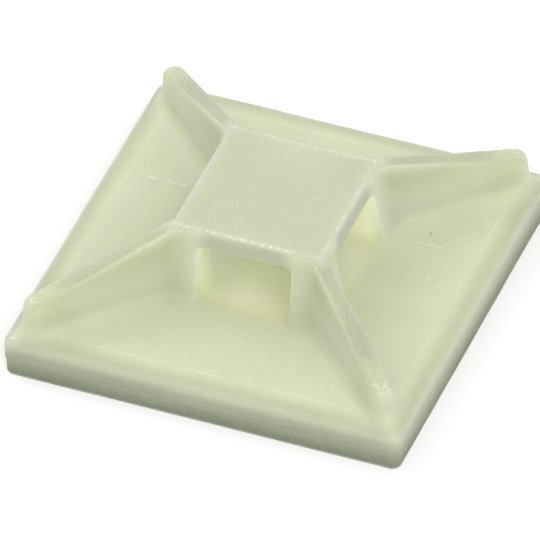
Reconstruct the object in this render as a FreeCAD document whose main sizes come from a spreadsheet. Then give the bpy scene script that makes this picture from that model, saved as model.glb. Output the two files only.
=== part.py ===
import FreeCAD, Part
import Sketcher
import math
import os

# Four-way adhesive mount for cable ties.
# A nylon moulding: a square plate, a saddle on four corner posts that a tie
# passes under from either side, and a rib from each post down to its corner.
# Under the plate lie a foam adhesive pad and the paper liner that covers it.
# Millimetres, +Z up, origin at the middle of the liner's underside.

os.makedirs("parts", exist_ok=True)
doc = FreeCAD.newDocument("cable_tie_mount")

SIZES = {
    # nylon plate, with a thin sloping rim round a level middle
    "plate_side": 19.0,
    "plate_edge": 0.95,
    "plate_corner": 0.50,
    "plate_arris": 0.22,
    "rim_width": 1.10,
    "rim_drop": 0.15,
    "crease_corner": 0.10,
    # foam pad and its liner
    "pad_thick": 0.75,
    "pad_inset": 0.04,
    "pad_corner": 0.45,
    "liner_thick": 0.15,
    # saddle, whose four sides lean in by its draft
    "saddle_side": 7.20,
    "saddle_rise": 3.80,
    "saddle_draft": 12.0,
    # the two crossing passages for the tie
    "tie_width": 4.40,
    "tie_height": 2.90,
    # ribs, narrower at the saddle's top than at the foot, each with a round nose set in
    # from the plate's two sides
    "rib_foot": 1.30,
    "rib_top": 0.65,
    "rib_inset": 0.55,
    "rib_end_rise": 1.62,
    "rib_blend": 0.60,
    # the soft edge round the saddle's top and along every ridge
    "top_arris": 0.20,
}

sheet = doc.addObject("Spreadsheet::Sheet", "sizes")
for row, (name, value) in enumerate(SIZES.items(), start=1):
    sheet.set(f"A{row}", name)
    sheet.set(f"B{row}", str(value))
    sheet.setAlias(f"B{row}", name)
doc.recompute()

# levels and derived widths, as expressions on the sheet
PLATE_BASE = "sizes.liner_thick + sizes.pad_thick"
RIM_FOOT = f"{PLATE_BASE} + sizes.plate_edge"
PLATE_TOP = f"{RIM_FOOT} + sizes.rim_drop"
SADDLE_TOP = f"{PLATE_TOP} + sizes.saddle_rise"
SADDLE_FOOT = "(sizes.saddle_side / 2 + sizes.saddle_rise * tan(sizes.saddle_draft * 1 deg))"
SADDLE_CORNER = "sizes.saddle_side / 2 * sqrt(2)"
RIB_ROOT = "sizes.saddle_side / 2"
RIB_RISE = "(sizes.rim_drop + sizes.saddle_rise)"
RIB_DRAFT = f"atan((sizes.rib_foot - sizes.rib_top) / 2 / {RIB_RISE})"
NOSE_CENTRE = "(sizes.plate_side / 2 - sizes.rib_inset - sizes.rib_foot / 2) * sqrt(2)"
NOSE_TIP = f"{NOSE_CENTRE} + sizes.rib_foot / 2"
PAD_HALF = "sizes.plate_side / 2 - sizes.pad_inset"

# how far a cut runs past the solid, and how close two places are the same
CLEAR = 1.0
NEAR = 1e-4


def new_body(name):
    body = doc.addObject("PartDesign::Body", name)
    body.Label = name
    return body


def origin_item(body, role):
    for feature in body.Origin.OriginFeatures:
        if feature.Role == role:
            return feature
    raise ValueError(role)


def new_sketch(body, name, role, turn=None, height=None):
    """A sketch on an origin plane, turned in place or raised along its normal."""
    sketch = body.newObject("Sketcher::SketchObject", name)
    sketch.AttachmentSupport = [(origin_item(body, role), "")]
    sketch.MapMode = "FlatFace"
    if turn is not None:
        sketch.AttachmentOffset = FreeCAD.Placement(FreeCAD.Vector(), turn)
    if height is not None:
        sketch.setExpression("AttachmentOffset.Base.z", height)
    return sketch


def constrain(sketch, rules, sized):
    """Adds an empty sketch's plain rules and its sized ones, each bound to an expression."""
    sketch.addConstraint(rules + [rule for rule, size in sized])
    for index, (rule, size) in enumerate(sized, start=len(rules)):
        sketch.setExpression(f"Constraints[{index}]", size)


def outline(sketch, corners):
    """A closed outline with each corner at (x, y) expressions; a minus is the far side."""
    count = len(corners)
    ring = [
        FreeCAD.Vector(math.cos(math.tau * i / count), math.sin(math.tau * i / count), 0)
        for i in range(count)
    ]
    for i in range(count):
        sketch.addGeometry(Part.LineSegment(ring[i], ring[(i + 1) % count]))
    rules = [
        Sketcher.Constraint("Coincident", i, 2, (i + 1) % count, 1) for i in range(count)
    ]
    sized = []
    for i, corner in enumerate(corners):
        for kind, size in zip(("DistanceX", "DistanceY"), corner):
            if size.startswith("-"):
                rule = Sketcher.Constraint(kind, i, 1, -1, 1, 1.0)
            else:
                rule = Sketcher.Constraint(kind, -1, 1, i, 1, 1.0)
            sized.append((rule, size.lstrip("-")))
    constrain(sketch, rules, sized)


def square(sketch, half):
    outline(sketch, [(f"-{half}", f"-{half}"), (half, f"-{half}"), (half, half), (f"-{half}", half)])


def rounded_square(sketch, half, corner):
    """A square about the origin with equal round corners, begun near its final size."""
    quarter = math.pi / 2
    far = sheet.plate_side / 2
    near = far - far / 10
    for i in range(4):
        turn = FreeCAD.Rotation(FreeCAD.Vector(0, 0, 1), 90 * i)
        start = turn.multVec(FreeCAD.Vector(-near, -far, 0))
        end = turn.multVec(FreeCAD.Vector(near, -far, 0))
        sketch.addGeometry(Part.LineSegment(start, end))
    for i in range(4):
        turn = FreeCAD.Rotation(FreeCAD.Vector(0, 0, 1), 90 * i)
        centre = turn.multVec(FreeCAD.Vector(near, -near, 0))
        ring = Part.Circle(centre, FreeCAD.Vector(0, 0, 1), far - near)
        sketch.addGeometry(Part.ArcOfCircle(ring, quarter * (i - 1), quarter * i))
    rules = []
    for i in range(4):
        rules.append(Sketcher.Constraint("Tangent", i, 2, 4 + i, 1))
        rules.append(Sketcher.Constraint("Tangent", 4 + i, 2, (i + 1) % 4, 1))
        rules.append(Sketcher.Constraint("Vertical" if i % 2 else "Horizontal", i))
        if i > 0:
            rules.append(Sketcher.Constraint("Equal", 4, 4 + i))
    sized = [
        (Sketcher.Constraint("DistanceY", 0, 1, -1, 1, far), half),
        (Sketcher.Constraint("DistanceX", -1, 1, 1, 1, far), half),
        (Sketcher.Constraint("DistanceY", -1, 1, 2, 1, far), half),
        (Sketcher.Constraint("DistanceX", 3, 1, -1, 1, far), half),
        (Sketcher.Constraint("Radius", 4, far - near), corner),
    ]
    constrain(sketch, rules, sized)


def round_nosed(sketch):
    """The rib's outline along its own axis: square at the root, half round at the nose."""
    root = FreeCAD.Vector(sheet.saddle_side / 2, -sheet.rib_foot / 2, 0)
    nose = FreeCAD.Vector(sheet.plate_side / 2, -sheet.rib_foot / 2, 0)
    across = FreeCAD.Vector(0, sheet.rib_foot, 0)
    ring = Part.Circle(nose + across / 2, FreeCAD.Vector(0, 0, 1), sheet.rib_foot / 2)
    sketch.addGeometry(Part.LineSegment(root, nose))
    sketch.addGeometry(Part.ArcOfCircle(ring, -math.pi / 2, math.pi / 2))
    sketch.addGeometry(Part.LineSegment(nose + across, root + across))
    sketch.addGeometry(Part.LineSegment(root + across, root))
    rules = [
        Sketcher.Constraint("Tangent", 0, 2, 1, 1),
        Sketcher.Constraint("Tangent", 1, 2, 2, 1),
        Sketcher.Constraint("Coincident", 2, 2, 3, 1),
        Sketcher.Constraint("Coincident", 3, 2, 0, 1),
        Sketcher.Constraint("Horizontal", 0),
        Sketcher.Constraint("Horizontal", 2),
        Sketcher.Constraint("Vertical", 3),
        Sketcher.Constraint("PointOnObject", 1, 3, -1),
    ]
    sized = [
        (Sketcher.Constraint("DistanceX", -1, 1, 0, 1, root.x), RIB_ROOT),
        (Sketcher.Constraint("DistanceX", -1, 1, 1, 3, nose.x), NOSE_CENTRE),
        (Sketcher.Constraint("DistanceY", 3, 2, 3, 1, across.y), "sizes.rib_foot"),
    ]
    constrain(sketch, rules, sized)


def pad(body, name, sketch, depth, draft=None):
    feature = body.newObject("PartDesign::Pad", name)
    feature.Profile = sketch
    feature.setExpression("Length", depth)
    if draft is not None:
        feature.setExpression("TaperAngle", f"-{draft}")
    return feature


def edges_where(feature, test):
    return [f"Edge{i}" for i, edge in enumerate(feature.Shape.Edges, start=1) if test(edge)]


def spans(edge, low, high):
    box = edge.BoundBox
    return abs(box.ZMin - low) < NEAR and abs(box.ZMax - high) < NEAR


def faces_up(face, above):
    """True for a face above a level that looks up more than sideways."""
    low_u, high_u, low_v, high_v = face.ParameterRange
    normal = face.normalAt((low_u + high_u) / 2, (low_v + high_v) / 2)
    return face.CenterOfMass.z > above and normal.z > abs(normal.x) + abs(normal.y)


def fillet(body, name, base, test, radius):
    feature = body.newObject("PartDesign::Fillet", name)
    feature.Base = (base, edges_where(base, test))
    feature.setExpression("Radius", radius)
    return feature


def make_mount():
    body = new_body("mount_body")

    # plate, its level middle falling away to a thinner edge
    half = "sizes.plate_side / 2"
    sketch = new_sketch(body, "plate_outline", "XY_Plane", height=PLATE_BASE)
    rounded_square(sketch, half, "sizes.plate_corner")
    pad(body, "plate", sketch, "sizes.plate_edge")
    rim_foot = new_sketch(body, "rim_outline", "XY_Plane", height=RIM_FOOT)
    rounded_square(rim_foot, half, "sizes.plate_corner")
    crease = new_sketch(body, "crease_outline", "XY_Plane", height=PLATE_TOP)
    rounded_square(crease, f"{half} - sizes.rim_width", "sizes.crease_corner")
    rim = body.newObject("PartDesign::AdditiveLoft", "rim")
    rim.Profile = rim_foot
    rim.Sections = [crease]
    rim.Ruled = True
    doc.recompute()
    plate_top = rim.Shape.BoundBox.ZMax
    rim_foot_z = plate_top - sheet.rim_drop
    fillet(
        body,
        "plate_arris",
        rim,
        lambda edge: spans(edge, rim_foot_z, rim_foot_z),
        "sizes.plate_arris",
    )
    doc.recompute()

    # saddle block, standing on the level middle of the plate
    sketch = new_sketch(body, "saddle_outline", "XY_Plane", height=PLATE_TOP)
    square(sketch, SADDLE_FOOT)
    pad(body, "saddle", sketch, "sizes.saddle_rise", draft="sizes.saddle_draft * 1 deg")

    # one rib along a diagonal, its ridge cut to slope from saddle to corner
    eighth = FreeCAD.Rotation(FreeCAD.Vector(0, 0, 1), 45)
    sketch = new_sketch(body, "rib_outline", "XY_Plane", turn=eighth, height=RIM_FOOT)
    round_nosed(sketch)
    rib = pad(body, "rib", sketch, RIB_RISE, draft=RIB_DRAFT)
    upright_turn = FreeCAD.Rotation(FreeCAD.Vector(0, 1, 0), 45)
    sketch = new_sketch(body, "ridge_outline", "XZ_Plane", turn=upright_turn)
    over = f"{SADDLE_TOP} + {CLEAR}"
    outline(
        sketch,
        [
            (SADDLE_CORNER, SADDLE_TOP),
            (NOSE_TIP, f"{PLATE_TOP} + sizes.rib_end_rise"),
            (NOSE_TIP, over),
            (SADDLE_CORNER, over),
        ],
    )
    ridge = body.newObject("PartDesign::Pocket", "ridge")
    ridge.Profile = sketch
    ridge.Midplane = True
    ridge.setExpression("Length", "2 * sizes.rib_foot")
    doc.recompute()
    ribs = body.newObject("PartDesign::PolarPattern", "ribs")
    ribs.Originals = [rib, ridge]
    ribs.Axis = (origin_item(body, "Z_Axis"), [""])
    ribs.Angle = 360
    ribs.Occurrences = 4
    body.Tip = ribs
    doc.recompute()

    # blend each rib into its post, then soften the saddle's top and the ridges
    saddle_top = plate_top + sheet.saddle_rise
    blends = fillet(
        body,
        "rib_blends",
        ribs,
        lambda edge: spans(edge, plate_top, saddle_top),
        "sizes.rib_blend",
    )
    doc.recompute()
    tops = [face for face in blends.Shape.Faces if faces_up(face, plate_top + NEAR)]
    rims = [edge for face in tops for edge in face.Edges]
    fillet(
        body,
        "top_arris",
        blends,
        lambda edge: any(edge.isSame(rim_edge) for rim_edge in rims),
        "sizes.top_arris",
    )
    doc.recompute()

    # the tie's two passages
    for plane in ("XZ_Plane", "YZ_Plane"):
        sketch = new_sketch(body, f"passage_{plane[:2]}", plane)
        half = "sizes.tie_width / 2"
        head = f"{PLATE_TOP} + sizes.tie_height"
        outline(sketch, [(f"-{half}", PLATE_TOP), (half, PLATE_TOP), (half, head), (f"-{half}", head)])
        passage = body.newObject("PartDesign::Pocket", f"tie_passage_{plane[:2]}")
        passage.Profile = sketch
        passage.Midplane = True
        passage.setExpression("Length", f"2 * {SADDLE_FOOT} + {CLEAR}")
    doc.recompute()
    return body


def make_slab(name, height, depth):
    body = new_body(name)
    sketch = new_sketch(body, f"{name}_outline", "XY_Plane", height=height)
    rounded_square(sketch, PAD_HALF, "sizes.pad_corner")
    pad(body, f"{name}_slab", sketch, depth)
    return body


mount = make_mount()
foam = make_slab("adhesive_pad", "sizes.liner_thick", "sizes.pad_thick")
liner = make_slab("release_liner", None, "sizes.liner_thick")
doc.recompute()

for obj in doc.Objects:
    if any(word in obj.State for word in ("Invalid", "Error")):
        raise RuntimeError(f"{obj.Name} is not built: {obj.State}")
for body in (mount, foam, liner):
    if body.Shape.isNull() or not body.Shape.isValid() or len(body.Shape.Solids) != 1:
        raise RuntimeError(f"{body.Label} is not one sound solid")
    body.Shape.exportStep(f"parts/{body.Label}.step")
    print(body.Label, round(body.Shape.Volume, 2), body.Shape.BoundBox)
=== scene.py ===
import math

import bmesh
import bpy
import numpy as np
from mathutils import Matrix, Vector, noise


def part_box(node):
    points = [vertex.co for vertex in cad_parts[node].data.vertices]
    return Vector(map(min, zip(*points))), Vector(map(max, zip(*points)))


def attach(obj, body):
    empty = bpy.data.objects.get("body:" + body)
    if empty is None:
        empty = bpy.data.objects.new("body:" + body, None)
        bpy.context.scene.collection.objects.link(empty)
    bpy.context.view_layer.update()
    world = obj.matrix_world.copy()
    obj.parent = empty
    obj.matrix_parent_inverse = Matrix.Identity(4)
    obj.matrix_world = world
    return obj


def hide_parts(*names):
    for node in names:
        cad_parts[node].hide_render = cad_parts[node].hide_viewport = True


# Cable tie mount: a nylon moulding on a foam pad with its release liner.

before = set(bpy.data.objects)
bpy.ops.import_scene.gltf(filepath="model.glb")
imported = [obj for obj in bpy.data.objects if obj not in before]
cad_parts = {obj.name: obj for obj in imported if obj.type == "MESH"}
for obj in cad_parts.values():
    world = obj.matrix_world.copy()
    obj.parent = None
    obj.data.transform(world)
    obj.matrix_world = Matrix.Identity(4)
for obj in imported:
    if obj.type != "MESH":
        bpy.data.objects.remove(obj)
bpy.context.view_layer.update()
MM = 0.001


# SHADER MATHS

class Socket:
    """One output of a material's node tree; Python operators on it add the Math nodes."""

    def __init__(self, tree, out):
        self.tree = tree
        self.out = out

    def math(self, operation, *values):
        return self.tree.node("ShaderNodeMath", {"operation": operation}, dict(enumerate(values)))

    def __add__(self, other):
        return self.math("ADD", self, other)

    __radd__ = __add__

    def __sub__(self, other):
        return self.math("SUBTRACT", self, other)

    def __rsub__(self, other):
        return self.math("SUBTRACT", other, self)

    def __mul__(self, other):
        return self.math("MULTIPLY", self, other)

    __rmul__ = __mul__

    def __abs__(self):
        return self.math("ABSOLUTE", self)

    def __or__(self, other):
        return self.math("MAXIMUM", self, other)

    def __and__(self, other):
        return self.math("MINIMUM", self, other)

    def step(self, low, high):
        """0 below low, 1 above high and smooth between; low may be the larger one."""
        rising = low < high
        inputs = {
            "Value": self,
            "From Min": min(low, high),
            "From Max": max(low, high),
            "To Min": 0.0 if rising else 1.0,
            "To Max": 1.0 if rising else 0.0,
        }
        return self.tree.node("ShaderNodeMapRange", {"interpolation_type": "SMOOTHSTEP"}, inputs)

    def near(self, place, reach):
        """1 at a value, falling to 0 at a reach from it."""
        return abs(self - place).step(reach, 0.0)


class Finish:
    """A material with one method that adds every node."""

    def __init__(self, name):
        self.material = bpy.data.materials.new(name)
        self.material.use_nodes = True
        self.nodes = self.material.node_tree.nodes
        self.links = self.material.node_tree.links
        self.nodes.clear()

    def node(self, kind, settings=None, inputs=None, output=0):
        """Adds a node, sets it up and fills its inputs, and gives back one of its outputs."""
        made = self.nodes.new(kind)
        for name, value in (settings or {}).items():
            setattr(made, name, value)
        for name, value in (inputs or {}).items():
            if isinstance(value, Socket):
                self.links.new(value.out, made.inputs[name])
            else:
                made.inputs[name].default_value = value
        return Socket(self, made.outputs[output])

    def place(self):
        """Position on the piece, in millimetres, and its three parts."""
        metres = self.node("ShaderNodeTexCoord", output="Object")
        inputs = {0: metres, "Scale": 1 / MM}
        spot = self.node("ShaderNodeVectorMath", {"operation": "SCALE"}, inputs)
        return spot, *(self.node("ShaderNodeSeparateXYZ", None, {0: spot}, i) for i in range(3))

    def stretch(self, spot, *factors):
        return self.node("ShaderNodeVectorMath", {"operation": "MULTIPLY"}, {0: spot, 1: factors})

    def clouds(self, spot, scale, detail=2.0, rough=0.5):
        """Soft noise; the scale is in waves to a millimetre."""
        inputs = {"Vector": spot, "Scale": scale, "Detail": detail, "Roughness": rough}
        return self.node("ShaderNodeTexNoise", {"noise_dimensions": "3D"}, inputs)

    def cells(self, spot, scale, output="Distance"):
        """Distance to the middle of the nearest cell, or each cell's own random colour."""
        inputs = {"Vector": spot, "Scale": scale}
        return self.node("ShaderNodeTexVoronoi", {"feature": "F1"}, inputs, output)

    def specks(self, spot, scale, size, share):
        """Small round specks, in a share of the cells."""
        chance = self.node("ShaderNodeSeparateColor", None, {0: self.cells(spot, scale, "Color")})
        speck = self.cells(spot, scale).step(size, size * 0.4)
        return speck * chance.step(1 - share, 1.02 - share)

    def blend(self, share, first, second):
        """The first colour at share 0, the second at share 1."""
        inputs = {0: share, 6: first, 7: second}
        return self.node("ShaderNodeMix", {"data_type": "RGBA"}, inputs, 2)

    def bump(self, height, strength, distance):
        inputs = {"Height": height, "Strength": strength, "Distance": distance}
        return self.node("ShaderNodeBump", None, inputs)

    def shader(self, **inputs):
        """A Principled shader; each input is named as on the node, with _ for a space."""
        named = {name.replace("_", " "): value for name, value in inputs.items()}
        return self.node("ShaderNodeBsdfPrincipled", None, named)

    def finished(self, shader):
        """Puts the shader on the material's output and gives back the material."""
        made = self.nodes.new("ShaderNodeOutputMaterial")
        self.links.new(shader.out, made.inputs["Surface"])
        return self.material


def colour(red, green, blue):
    """A colour as it is seen on a screen, 0 to 255, turned to light amounts."""
    def linear(part):
        part /= 255
        return part / 12.92 if part <= 0.04045 else ((part + 0.055) / 1.055) ** 2.4
    return (linear(red), linear(green), linear(blue), 1.0)


# PLACES, in millimetres

# the corners of each node's box
FOAM_LOW, FOAM_HIGH = (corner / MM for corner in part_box("adhesive_pad"))
LINER_LOW, LINER_HIGH = (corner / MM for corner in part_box("release_liner"))
MOUNT_LOW, MOUNT_HIGH = (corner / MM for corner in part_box("mount_body"))
# heights of the plate's underside, its edge, its level middle, the passages' ceiling and
# the saddle's top
PLATE_FOOT = 0.9
PLATE_EDGE = 1.85
PLATE_TOP = 2.0
PASSAGE_TOP = 4.9
SADDLE_TOP = 5.8
# half the width of the plate, its level middle, the saddle's top and a passage
PLATE_HALF = 9.5
CREASE = 8.4
SADDLE_HALF = 3.6
PASSAGE_HALF = 2.2
# radius of the round corners
PLATE_CORNER = 0.5
PAD_CORNER = 0.45
# where the mould's halves met on the plate, as first x, last x and y
WITNESS_LINES = ((-7.45, -5.46, 3.0), (4.63, 6.82, 3.0))
# where the ejector pin pressed on it, as x, y and radius
PIN_MARK = (4.5, -7.26, 0.9)


# FINISHES

# the nylon's colour at each place; it is greener over the foam and greyer standing free, and at
# many places it is painted light or painted shade, as marked below
NYLON = {
    "plate": colour(219, 224, 195),
    # painted shade on the margin that falls away to the edge
    "rim": colour(193, 198, 170),
    # painted light round the feet of the ribs and the saddle, lifting their shade
    "near_foot_light": colour(238, 239, 226),
    # painted shade along the plate's top edge
    "arris_shade": colour(191, 195, 172),
    "sides": colour(205, 207, 190),
    "posts": colour(204, 208, 187),
    # painted shade: the raised parts' upward faces, darker than their steep faces
    "ridges": colour(176, 181, 160),
    # painted shade on the thin wall over each window
    "bridge": colour(183, 185, 174),
    # the saddle's top: greyer standing free, and darker as painted shade
    "saddle": colour(198, 202, 183),
    # painted light: the saddle's thin back middle, lit through
    "saddle_back_light": colour(210, 214, 190),
    # painted light in the passages: their floor and walls lighter than their shade
    "tunnel_light": colour(238, 246, 208),
    "passage": colour(230, 235, 216),
    # painted shade: the plate's side darker towards the bottom
    "edge": colour(180, 185, 161),
    "foot": colour(162, 168, 146),
    # painted light in the hollows between the ribs and the posts
    "nook_light": colour(240, 242, 224),
    # painted shade on the ribs' noses
    "nose": colour(198, 203, 175),
    # painted shade: a dark line along each side of the ridges
    "shoulder_shade": colour(166, 172, 142),
    "cloud": colour(200, 207, 176),
    "grain": colour(232, 236, 214),
    # painted light: a yellowish patch of light on the plate inside the front passage
    "warm_light": colour(252, 241, 200),
    # painted highlight: the colour of the highlight lines and glints
    "bright": colour(246, 249, 232),
    "dirt": colour(120, 124, 92),
}
NO_GLOW = (0.0, 0.0, 0.0, 1.0)
PASSAGE_GLOW = (0.085, 0.085, 0.056, 1.0)


class MouldingSpot:
    """Where a spot of the moulding lies: its distances, and how far it is on each part."""

    def __init__(self, f):
        self.spot, self.x, self.y, self.z = f.place()
        x, y, z = self.x, self.y, self.z
        # distances: out from the middle, off the nearest diagonal, and along that diagonal
        self.out = abs(x) | abs(y)
        self.across = abs(abs(x) - abs(y)) * math.sqrt(0.5)
        self.along = (abs(x) + abs(y)) * math.sqrt(0.5)
        # shares from 0 to 1
        facing = f.node("ShaderNodeTexCoord", output="Normal")
        self.upward = f.node("ShaderNodeSeparateXYZ", None, {0: facing}, 2).step(0.45, 0.85)
        self.raised = z.step(PLATE_TOP + 0.05, PLATE_TOP + 0.9)
        self.top = z.step(SADDLE_TOP - 0.35, SADDLE_TOP - 0.1) * self.upward
        middle = self.out.step(CREASE + 0.05, CREASE - 0.05)
        self.level = z.step(PLATE_TOP + 0.08, PLATE_TOP + 0.02) * middle * self.upward
        between_posts = (abs(x) & abs(y)).step(PASSAGE_HALF + 0.2, PASSAGE_HALF + 0.02)
        below_bridge = z.step(PASSAGE_TOP + 0.1, PASSAGE_TOP - 0.2)
        self.under = self.out.step(4.3, 3.2) * below_bridge * between_posts
        self.rough = self.level | self.top
        # painted light: where a yellowish patch of light lies inside the front passage
        self.warm_light = abs(x - 0.7).step(2.6, 0.9) * abs(y + 2.4).step(2.4, 1.4) * (1 - self.raised)


def nylon_tone(f, at):
    """The colour by place, each layer laid over the ones before it; many layers are painted light
    or painted shade.
    """
    x, y, z, out, across = at.x, at.y, at.z, at.out, at.across
    steep = 1 - at.upward
    # painted light in the hollows between the ribs and the posts
    nook_light = at.raised * out.near(3.8, 0.7) * across.near(1.0, 0.5) * (1 - at.under)
    # painted shade: a dark line along each side of the ridges
    shoulder_shade = across.near(0.42, 0.12) * z.step(3.2, 3.7) * out.step(3.7, 4.2)
    above_windows = z.step(PASSAGE_TOP - 0.4, PASSAGE_TOP + 0.1) * across.step(0.7, 1.5)
    grain_share = 0.14 + 0.12 * at.top + 0.3 * at.level
    layers = (
        # painted shade on the margin that falls away to the edge
        ("rim", out.step(CREASE, CREASE + 0.9)),
        # painted light round the feet of the ribs and the saddle
        ("near_foot_light", across.step(1.9, 0.6) * out.step(3.5, 4.4) * 0.3),
        # painted shade along the plate's top edge
        ("arris_shade", out.step(PLATE_HALF - 0.45, PLATE_HALF - 0.1)),
        ("sides", at.raised),
        ("posts", out.step(4.9, 3.7) * at.raised),
        # painted shade on the raised parts' upward faces
        ("ridges", at.raised * at.upward),
        # painted shade on the thin wall over each window
        ("bridge", above_windows * steep),
        # painted shade on the saddle's top
        ("saddle", at.top * out.step(SADDLE_HALF + 0.6, SADDLE_HALF - 0.1)),
        # painted light on the saddle's thin back middle
        ("saddle_back_light", at.top * x.near(0.0, 3.0) * y.step(0.0, 3.2) * 0.5),
        # painted light on the floor and walls inside the passages
        ("tunnel_light", at.under),
        ("passage", at.under * at.raised),
        # painted shade: the plate's side darker towards the bottom
        ("edge", z.step(PLATE_EDGE, PLATE_FOOT + 0.3)),
        ("foot", z.step(PLATE_FOOT + 0.3, PLATE_FOOT + 0.05)),
        # painted light in the hollows between the ribs and the posts
        ("nook_light", nook_light * 0.2 * steep),
        # painted shade on the ribs' noses
        ("nose", out.step(7.0, 8.0) * at.raised * 0.8),
        # painted shade along each side of the ridges
        ("shoulder_shade", shoulder_shade * 0.35),
        ("cloud", f.clouds(at.spot, 0.35).step(0.35, 0.7) * 0.2),
        ("grain", f.clouds(at.spot, 9.0, 2.0, 0.6).step(0.4, 0.75) * grain_share),
        # painted light inside the front passage
        ("warm_light", at.warm_light * 0.45),
    )
    tone = NYLON["plate"]
    for name, share in layers:
        tone = f.blend(share, tone, NYLON[name])
    return tone


def painted_highlight_lines(f, at):
    """Painted highlights along broken lines: the crease, the witness lines, two edges of the
    saddle and the ridges.
    """
    x, y = at.x, at.y
    dashes = f.clouds(at.spot, 5.5, 2.0).step(0.47, 0.58)
    in_front = 0.25 + 0.3 * y.step(-8.2, -8.3)
    here_and_there = f.clouds(at.spot, 0.8, 1.0).step(0.36, 0.55)
    lines = at.out.near(CREASE + 0.03, 0.08) * here_and_there * at.upward * in_front
    for first, last, line in WITNESS_LINES:
        length = x.step(first - 0.1, first) * x.step(last + 0.1, last)
        lines = lines | y.near(line, 0.09) * length * at.level
    edge, end = SADDLE_HALF - 0.12, SADDLE_HALF + 0.15
    front_and_back = abs(y).near(edge, 0.09) * abs(x).step(end, SADDLE_HALF - 0.2)
    right = x.near(edge, 0.09) * abs(y).step(end, SADDLE_HALF - 0.2)
    lines = lines | (front_and_back * 0.6 | right * 0.3) * at.top
    ends = at.along.step(10.8, 12.0) | at.along.step(4.5, 9.0) * 0.3
    ridges = ends * at.raised * at.upward * at.across.step(0.34, 0.2)
    return lines * dashes | ridges * f.clouds(at.spot, 8.0, 2.0).step(0.5, 0.62) * 0.35


def painted_glints(f, at):
    """Painted glints where the level faces' grain sparkles, and on the left corner's nose."""
    patches = f.clouds(at.spot, 0.45, 1.0).step(0.42, 0.62)
    even = f.specks(at.spot, 3.6, 0.2, 0.1)
    # painted glints on the grain of the level faces and the saddle's top
    sparkle = (even | f.specks(at.spot, 5.2, 0.28, 0.45) * patches * 0.8) * at.rough
    left_corner = at.along.step(12.5, 13.0) * at.x.step(0.0, -1.0) * at.y.step(0.0, -1.0)
    corner_glints = f.specks(at.spot, 4.0, 0.35, 0.35) * left_corner
    return sparkle * (0.8 - 0.4 * at.top) | corner_glints * 0.7


def natural_nylon():
    f = Finish("natural_nylon")
    at = MouldingSpot(f)
    # painted highlights and glints laid over the tone
    bright = painted_highlight_lines(f, at) | painted_glints(f, at)
    tone = f.blend(bright, nylon_tone(f, at), NYLON["bright"])
    tone = f.blend(f.specks(at.spot, 0.5, 0.045, 0.25) * at.level * 0.8, tone, NYLON["dirt"])

    # painted light: the passages glow a little, most at the right, standing in for light let
    # through the thin walls over them
    lit = at.warm_light | at.raised * at.x.step(-0.5, 1.5) * 0.8
    glow = f.blend(at.under * (0.12 + 0.88 * lit), NO_GLOW, PASSAGE_GLOW)

    height = f.clouds(at.spot, 5.5, 3.0, 0.65) * (0.1 + 0.9 * at.rough)
    common = {
        "Base_Color": tone,
        "Roughness": 0.52 - 0.12 * f.clouds(at.spot, 4.0).step(0.4, 0.7) - 0.2 * bright,
        "Normal": f.bump(height, 0.4, 0.00005),
        "IOR": 1.53,
        "Specular_IOR_Level": 0.35,
    }
    soft = f.shader(
        **common,
        Emission_Color=glow,
        Emission_Strength=1.0,
        Subsurface_Weight=1.0,
        Subsurface_Radius=(1.0, 1.0, 0.75),
        Subsurface_Scale=0.0022,
        Subsurface_Anisotropy=0.8,
    )
    # close to the foam no light comes through from below
    stuck = at.z.step(PLATE_FOOT + 0.4, PLATE_FOOT + 0.15)
    plain = f.shader(**common)
    return f.finished(f.node("ShaderNodeMixShader", None, {0: stuck, 1: soft, 2: plain}))


def foam():
    f = Finish("foam_pad")
    spot, _, _, z = f.place()
    cells = f.cells(spot, 5.0)
    stains = f.clouds(f.stretch(spot, 0.4, 0.4, 1.6), 0.9, 3.0, 0.6)
    # painted shade: the foam's cut edge darker towards the bottom
    height = z.step(FOAM_LOW.z, FOAM_HIGH.z)
    tone = f.blend(height, colour(142, 149, 125), colour(174, 180, 152))
    tone = f.blend(stains.step(0.35, 0.7) * 0.4, tone, colour(140, 147, 122))
    tone = f.blend(cells.step(0.25, 0.6) * 0.2, tone, colour(190, 196, 168))
    # painted light: a lighter band along the foam's top
    lit = z.step(FOAM_HIGH.z - 0.2, FOAM_HIGH.z)
    tone = f.blend(lit * 0.25, tone, colour(204, 210, 184))
    tone = f.blend(f.specks(spot, 1.3, 0.07, 0.25) * 0.5, tone, colour(104, 110, 86))
    return f.finished(f.shader(
        Base_Color=tone,
        Roughness=0.85,
        Normal=f.bump(cells + 0.6 * f.clouds(spot, 9.0), 0.5, 0.00005),
        Subsurface_Weight=0.5,
        Subsurface_Radius=(1.0, 1.0, 0.8),
        Subsurface_Scale=0.0006,
    ))


def paper():
    f = Finish("release_liner")
    spot = f.place()[0]
    fibres = f.clouds(f.stretch(spot, 1.0, 1.0, 5.0), 4.0, 3.0, 0.6)
    tone = f.blend(fibres.step(0.35, 0.7) * 0.6, colour(150, 162, 138), colour(190, 201, 178))
    relief = f.bump(fibres, 0.3, 0.00003)
    return f.finished(f.shader(Base_Color=tone, Roughness=0.55, Normal=relief))


# PIECES

VOXEL = 0.1
SHARP_FROM = math.radians(50)
# turns of softening for hollows, for the ribs and windows, and for every other edge
HOLLOW_TURNS, WORN_TURNS, EDGE_TURNS = 70, 9, 3
# share of the way that a hollow and an edge are pulled in a turn, and the most for an edge
HOLLOW_PULL, EDGE_PULL, MOST_PULL = 0.5, 0.4, 0.6
# how far the marks and the unevenness go, and how wide the marks are to each side
LINE_HEIGHT, LINE_REACH = 0.035, 0.07
RING_DEPTH, RING_REACH = 0.03, 0.08
WAVE, RIPPLE = 0.016, 0.006


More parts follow.
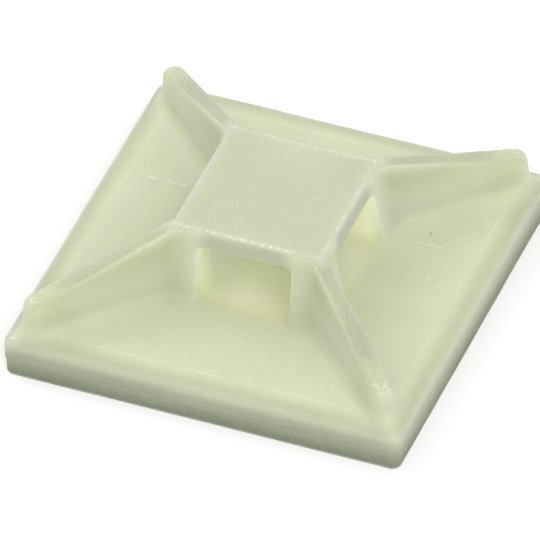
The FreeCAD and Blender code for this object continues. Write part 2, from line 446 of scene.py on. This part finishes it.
def hold(mesh, name, material, node):
    """Makes a finished mesh, in millimetres, into a piece in metres that stands for a node."""
    mesh.transform(Matrix.Scale(MM, 4))
    mesh.materials.clear()
    mesh.materials.append(material)
    mesh.shade_smooth()
    mesh.set_sharp_from_angle(angle=SHARP_FROM)
    piece = bpy.data.objects.new(name, mesh)
    bpy.context.scene.collection.objects.link(piece)
    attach(piece, "root")
    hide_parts(node)
    return piece


def skin_over(node):
    """A fine even skin over a node's solid, in millimetres."""
    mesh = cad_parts[node].data.copy()
    mesh.transform(Matrix.Scale(1 / MM, 4))
    work = bmesh.new()
    work.from_mesh(mesh)
    bmesh.ops.remove_doubles(work, verts=work.verts, dist=0.0005)
    work.to_mesh(mesh)
    work.free()
    piece = bpy.data.objects.new("skin", mesh)
    bpy.context.scene.collection.objects.link(piece)
    skin = piece.modifiers.new("skin", "REMESH")
    skin.mode = "VOXEL"
    skin.voxel_size = VOXEL
    graph = bpy.context.evaluated_depsgraph_get()
    made = bpy.data.meshes.new_from_object(piece.evaluated_get(graph))
    bpy.data.objects.remove(piece)
    bpy.data.meshes.remove(mesh)
    return made


def read(layer, field):
    """One vector of each item of a mesh, as rows."""
    flat = np.zeros(len(layer) * 3, np.float32)
    layer.foreach_get(field, flat)
    return flat.reshape(-1, 3).astype(float)


def write_points(mesh, points):
    mesh.vertices.foreach_set("co", points.astype(np.float32).ravel())
    mesh.update()


def rise(value, low, high):
    """0 below low, 1 above high and smooth between, on arrays; low may be the larger one."""
    t = np.clip((value - low) / (high - low), 0, 1)
    return t * t * (3 - 2 * t)


def soften(mesh):
    """Rounds the ridges a little more than the rest and fills the corners where parts meet."""
    points = read(mesh.vertices, "co")
    normals = read(mesh.vertex_normals, "vector")
    flat = np.zeros(len(mesh.edges) * 2, np.int32)
    mesh.edges.foreach_get("vertices", flat)
    ends = flat.reshape(-1, 2).T
    count = np.maximum(np.bincount(flat, minlength=len(points)), 1)
    height = points[:, 2]
    along = (abs(points[:, 0]) + abs(points[:, 1])) / math.sqrt(2)
    out = abs(points[:, :2]).max(axis=1)
    on_rib = rise(along, 5.3, 6.0) * rise(height, 2.6, 3.2)
    on_window = rise(out, 2.9, 3.2) * rise(height, 2.1, 2.4) * rise(height, 5.3, 5.1)
    worn = np.maximum(on_rib, on_window)
    free = rise(height, MOUNT_LOW.z + 0.05, MOUNT_LOW.z + 0.3)
    for turn in range(HOLLOW_TURNS):
        total = np.zeros_like(points)
        for here, there in (ends, ends[::-1]):
            for axis in range(3):
                total[:, axis] += np.bincount(here, points[there, axis], len(points))
        pull = total / count[:, None] - points
        hollow = (pull * normals).sum(1) > 0
        outer = EDGE_PULL * (turn < EDGE_TURNS) + EDGE_PULL * worn * (turn < WORN_TURNS)
        share = free * np.where(hollow, HOLLOW_PULL, np.minimum(outer, MOST_PULL))
        points += pull * share[:, None]
    write_points(mesh, points)


def split_near(mesh, rounds, near_mark):
    """Splits the faces round fine marks, so that they can be shaped."""
    work = bmesh.new()
    work.from_mesh(mesh)
    for _ in range(rounds):
        faces = [face for face in work.faces if near_mark(face.calc_center_median())]
        edges = {edge for face in faces for edge in face.edges}
        bmesh.ops.subdivide_edges(work, edges=list(edges), cuts=1, use_grid_fill=True)
    work.to_mesh(mesh)
    work.free()


def near_plate_mark(middle):
    """True close to a witness line or the ejector pin's ring."""
    if abs(middle.z - PLATE_TOP) > 0.1:
        return False
    x, y, radius = PIN_MARK
    if abs(math.hypot(middle.x - x, middle.y - y) - radius) < 0.12:
        return True
    return any(
        first - 0.1 < middle.x < last + 0.1 and abs(middle.y - line) < 0.14
        for first, last, line in WITNESS_LINES
    )


def square_foot(points):
    """The plate's bottom edge is cut square, so its points go out to the side's outline."""
    past = np.maximum(abs(points[:, :2]) - (MOUNT_HIGH.x - PLATE_CORNER), 0)
    reach = np.maximum(np.hypot(*past.T), 1e-9)
    near = (points[:, 2] < MOUNT_LOW.z + 0.12) & (reach > PLATE_CORNER - 0.16)
    away = past / reach[:, None] * (PLATE_CORNER - reach)[:, None] * np.sign(points[:, :2])
    points[near, :2] += away[near]


def mark_plate(mesh):
    """Raised witness lines, the ejector pin's ring, and a surface that is never quite flat."""
    points = read(mesh.vertices, "co")
    normals = read(mesh.vertex_normals, "vector")
    x, y, z = points.T
    level = rise(z, PLATE_TOP + 0.08, PLATE_TOP + 0.03) * (normals[:, 2] > 0.9)
    lift = np.zeros(len(points))
    for first, last, line in WITNESS_LINES:
        length = rise(x, first - 0.08, first + 0.08) * rise(x, last + 0.08, last - 0.08)
        lift += LINE_HEIGHT * length * rise(abs(y - line), LINE_REACH, 0.0)
    px, py, radius = PIN_MARK
    lift -= RING_DEPTH * rise(abs(np.hypot(x - px, y - py) - radius), RING_REACH, 0.0)
    points[:, 2] += lift * level
    wave = np.array([noise.fractal(Vector(p) * 0.33, 1.0, 2.0, 2) for p in points])
    ripple = np.array([noise.noise(Vector(p) * 1.6) for p in points])
    points += normals * (WAVE * wave + RIPPLE * ripple)[:, None]
    square_foot(points)
    write_points(mesh, np.clip(points, np.array(MOUNT_LOW), np.array(MOUNT_HIGH)))


def looks_down(face):
    """True for a face of the moulding's underside."""
    return face.normal.z < -0.98 and face.calc_center_median().z < MOUNT_LOW.z + 0.06


def flatten_underside(mesh):
    """One plain face under the plate, where the foam is stuck on."""
    work = bmesh.new()
    work.from_mesh(mesh)
    lowest = {vert for face in work.faces if looks_down(face) for vert in face.verts}
    for vert in work.verts:
        if vert in lowest or vert.co.z < MOUNT_LOW.z + 0.02:
            vert.co.z = MOUNT_LOW.z
    bmesh.ops.remove_doubles(work, verts=work.verts, dist=0.005)
    work.normal_update()
    under = [face for face in work.faces if looks_down(face)]
    bmesh.ops.dissolve_faces(work, faces=under, use_verts=True)
    work.to_mesh(mesh)
    work.free()


def moulding():
    mesh = skin_over("mount_body")
    soften(mesh)
    split_near(mesh, 2, near_plate_mark)
    mark_plate(mesh)
    flatten_underside(mesh)
    hold(mesh, "nylon_moulding", natural_nylon(), "mount_body")


def round_square(half, corner, gap):
    """Points round a square with round corners, with the outward direction at each."""
    run, flat = [], half - corner
    sides = max(2, round(2 * flat / gap))
    turns = max(3, round(corner * math.pi / 2 / gap))
    for side in range(4):
        turn = Matrix.Rotation(side * math.pi / 2, 2)
        for step in range(sides):
            place = Vector((-flat + 2 * flat * step / sides, -half))
            run.append((turn @ place, turn @ Vector((0, -1))))
        for step in range(turns):
            bend = -math.pi / 2 + math.pi / 2 * step / turns
            way = Vector((math.cos(bend), math.sin(bend)))
            run.append((turn @ (Vector((flat, -flat)) + way * corner), turn @ way))
    return run


def cut_sheet(low, high, gap, rows, inward):
    """A thin cut sheet between two corners, its edge drawn in as a function of the place."""
    work = bmesh.new()
    rings = []
    outline = round_square(high.x, PAD_CORNER, gap)
    for row in range(rows + 1):
        share = row / rows
        level = low.z + (high.z - low.z) * share
        ring = []
        for place, way in outline:
            drawn = inward(Vector((place.x, place.y, level)), share)
            x, y = place.x - way.x * drawn, place.y - way.y * drawn
            ring.append(work.verts.new((x, y, level)))
        rings.append(ring)
    count = len(outline)
    for lower, upper in zip(rings, rings[1:]):
        for i in range(count):
            work.faces.new((lower[i], lower[(i + 1) % count], upper[(i + 1) % count], upper[i]))
    for ring, level in ((rings[0][::-1], low.z), (rings[-1], high.z)):
        inner = [work.verts.new((vert.co.x * 0.96, vert.co.y * 0.96, level)) for vert in ring]
        for i in range(count):
            j = (i + 1) % count
            work.faces.new((ring[i], ring[j], inner[j], inner[i]))
        work.faces.new(inner)
    work.normal_update()
    mesh = bpy.data.meshes.new("sheet")
    work.to_mesh(mesh)
    work.free()
    return mesh


def foam_edge(spot, share):
    """The foam's cut edge: drawn in a little, pressed out under the plate, with open cells."""
    waist = 0.02 * math.sin(math.pi * share) - 0.035 * share
    wave = 0.02 * (1 - share) * (0.5 + 0.5 * noise.noise(spot * 0.35))
    pit = max(0.0, 0.30 - noise.voronoi(spot * 4.2)[0][0]) * 0.25
    grain = 0.02 * (0.5 + 0.5 * noise.noise(spot * 7))
    return waist + wave + pit + grain


def liner_edge(spot, share):
    """The liner's cut edge, barely wavy and rounded over where the blade went in."""
    wave = 0.03 * (0.5 + 0.5 * noise.noise(spot * 0.5))
    burr = 0.012 * (0.5 + 0.5 * noise.noise(spot * 6))
    return wave + burr + 0.03 * (1 - share) ** 4


def foam_pad():
    mesh = cut_sheet(FOAM_LOW, FOAM_HIGH, gap=0.09, rows=9, inward=foam_edge)
    piece = hold(mesh, "foam_pad", foam(), "adhesive_pad")


def release_paper():
    mesh = cut_sheet(LINER_LOW, LINER_HIGH, gap=0.12, rows=4, inward=liner_edge)
    hold(mesh, "release_liner_paper", paper(), "release_liner")


moulding()
foam_pad()
release_paper()


# FLOOR, LIGHT AND CAMERA, in metres

def floor():
    """A pale floor that looks white to the camera, also by reflection or through the nylon."""
    half = 0.6
    corners = [(-half, -half, 0), (half, -half, 0), (half, half, 0), (-half, half, 0)]
    mesh = bpy.data.meshes.new("floor")
    mesh.from_pydata(corners, [], [(0, 1, 2, 3)])
    made = bpy.data.objects.new("floor", mesh)
    bpy.context.scene.collection.objects.link(made)
    f = Finish("white_floor")
    seen = f.node("ShaderNodeLightPath", output="Is Camera Ray")
    for ray in ("Is Glossy Ray", "Is Transmission Ray"):
        seen = seen | f.node("ShaderNodeLightPath", output=ray)
    matt = {"Base_Color": (0.8, 0.8, 0.8, 1.0), "Roughness": 1.0, "Specular_IOR_Level": 0.0}
    plain = f.shader(**matt)
    bright = f.shader(**matt, Emission_Color=(1.0, 1.0, 1.0, 1.0), Emission_Strength=0.35)
    mixed = f.node("ShaderNodeMixShader", None, {0: seen, 1: plain, 2: bright})
    mesh.materials.append(f.finished(mixed))


def lamp(name, spot, size, power):
    """A square lamp turned to the middle of the mount."""
    data = bpy.data.lights.new(name, "AREA")
    data.size = size
    data.energy = power
    made = bpy.data.objects.new(name, data)
    made.location = spot
    made.rotation_mode = "QUATERNION"
    made.rotation_quaternion = (-Vector(spot)).to_track_quat("-Z", "Y")
    bpy.context.scene.collection.objects.link(made)


def light():
    world = bpy.data.worlds.new("studio")
    world.use_nodes = True
    sky = world.node_tree.nodes["Background"].inputs
    sky["Color"].default_value = (1, 1, 1, 1)
    sky["Strength"].default_value = 0.66
    bpy.context.scene.world = world
    lamp("softbox", (-0.26, 0.10, 0.27), size=0.22, power=0.30)
    lamp("front_fill", (0.20, -0.18, 0.27), size=0.22, power=0.44)


def camera():
    """The photo's camera, as fitted to the plate's outline and the saddle's corners."""
    side = 2 * PLATE_HALF * MM
    azimuth, elevation, roll = (math.radians(v) for v in (22.854, 41.618, -1.786))
    distance_in_sides, pixels_to_a_side, picture_width = 33.15, 424.6, 540
    target = Vector((0.0, -0.0484, 0.1)) * side
    back = Vector((
        math.sin(azimuth) * math.cos(elevation),
        -math.cos(azimuth) * math.cos(elevation),
        math.sin(elevation),
    ))
    data = bpy.data.cameras.new("camera")
    data.sensor_width = 36
    data.lens = pixels_to_a_side * distance_in_sides / picture_width * data.sensor_width
    data.clip_start, data.clip_end = 0.01, 10
    made = bpy.data.objects.new("camera", data)
    made.location = target + back * distance_in_sides * side
    made.rotation_euler = (-back).to_track_quat("-Z", "Y").to_euler()
    made.rotation_euler.rotate_axis("Z", roll)
    bpy.context.scene.collection.objects.link(made)
    bpy.context.scene.camera = made


floor()
light()
camera()
bpy.context.scene.view_settings.view_transform = "Standard"
